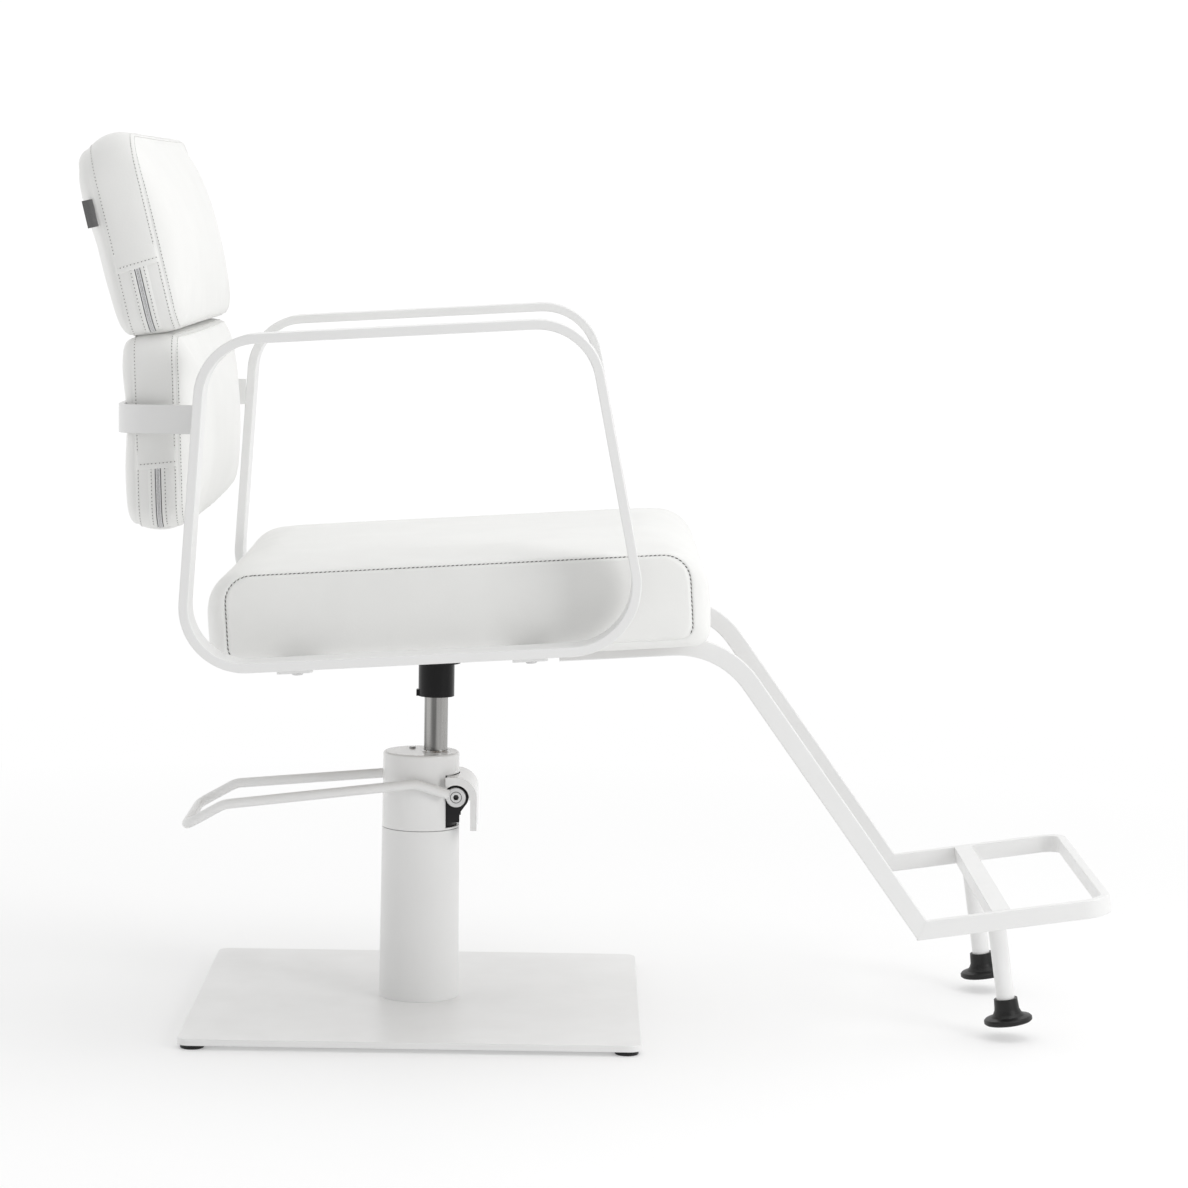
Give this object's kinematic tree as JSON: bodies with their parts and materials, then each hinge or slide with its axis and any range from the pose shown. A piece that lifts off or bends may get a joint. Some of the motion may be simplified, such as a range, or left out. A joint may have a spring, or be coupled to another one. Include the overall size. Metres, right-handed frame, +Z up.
{
  "type": "styling chair",
  "caption": "Salon styling chair: padded seat and split back on flat-bar arm loops, tubular footrest, foot-pumped hydraulic swivel column on a square plate.",
  "frame": {"origin": "the point of the floor under the swivel axis, which is the piston rod's axis", "axes": "+X the way the client faces, +Y the client's left, +Z up"},
  "size_m": [1.1098, 0.695, 0.9736],
  "materials": {
    "white_powder_coat": "satin",
    "white_leatherette": "satin",
    "satin_rod": "satin",
    "plain_steel": "satin",
    "zinc_hardware": "satin",
    "black_steel": "satin",
    "black_moulding": "matte",
    "black_rubber": "matte",
    "bronze_bush": "satin",
    "plywood": "matte",
    "grey_zip": "matte",
    "tag_cloth": "matte"
  },
  "bodies": {
    "base": {"base_plate": "white_powder_coat", "base_glides": "black_rubber", "base_screws": "zinc_hardware", "column_tube": "white_powder_coat", "column_flange": "plain_steel", "column_shroud": "white_powder_coat", "shroud_screw": "zinc_hardware", "rod_wiper": "zinc_hardware", "pump_cylinder": "plain_steel", "rod_guide": "bronze_bush", "pump_head": "black_steel", "pivot_pin": "zinc_hardware", "pivot_nut": "zinc_hardware", "plunger_spring": "zinc_hardware"},
    "plunger": {"pump_plunger": "plain_steel"},
    "piston": {"piston_rod": "satin_rod", "piston_head": "plain_steel"},
    "lever": {"lever_hub": "black_steel", "lever_hood": "white_powder_coat", "lever_bar": "white_powder_coat"},
    "seat": {"arm_loop_right": "white_powder_coat", "arm_loop_left": "white_powder_coat", "rear_cross_plate": "white_powder_coat", "front_cross_plate": "white_powder_coat", "mount_plate": "white_powder_coat", "loop_bolts": "zinc_hardware", "plate_bolts": "zinc_hardware", "taper_socket": "black_steel", "socket_cover": "black_moulding", "seat_board": "plywood", "seat_cushion": "white_leatherette", "footrest_rail_right": "white_powder_coat", "footrest_rail_left": "white_powder_coat", "rail_screws": "zinc_hardware", "footrest_frame": "white_powder_coat", "footrest_crossbar": "white_powder_coat", "footrest_legs": "white_powder_coat", "footrest_feet": "black_rubber", "back_band": "white_powder_coat", "band_bolts": "zinc_hardware", "back_spines": "plain_steel", "lower_back_board": "plywood", "upper_back_board": "plywood", "lower_back_cushion": "white_leatherette", "upper_back_cushion": "white_leatherette", "lower_zip": "grey_zip", "upper_zip": "grey_zip", "blank_tag": "tag_cloth"}
  },
  "joints": [
    {"name": "lift", "type": "slide", "parent": "base", "child": "piston", "axis": [0, 0, 1], "range_m": [0, 0.13]},
    {"name": "swivel", "type": "hinge", "parent": "piston", "child": "seat", "pos_m": [0, 0, 0.38], "axis": [0, 0, 1], "continuous": true},
    {"name": "foot_lever", "type": "hinge", "parent": "base", "child": "lever", "pos_m": [0.0247, 0, 0.2445], "axis": [0, 1, 0], "range_deg": [-25, 0], "stiffness_Nm_per_rad": 6, "springref_deg": 20.05},
    {"name": "plunger_stroke", "type": "slide", "parent": "base", "child": "plunger", "axis": [0, 0, 1], "range_m": [-0.0075, 0], "deforming": ["plunger_spring"]}
  ],
  "couplings": [
    {"joint": "plunger_stroke", "follows": "foot_lever", "m_per_rad": 0.0162}
  ]
}
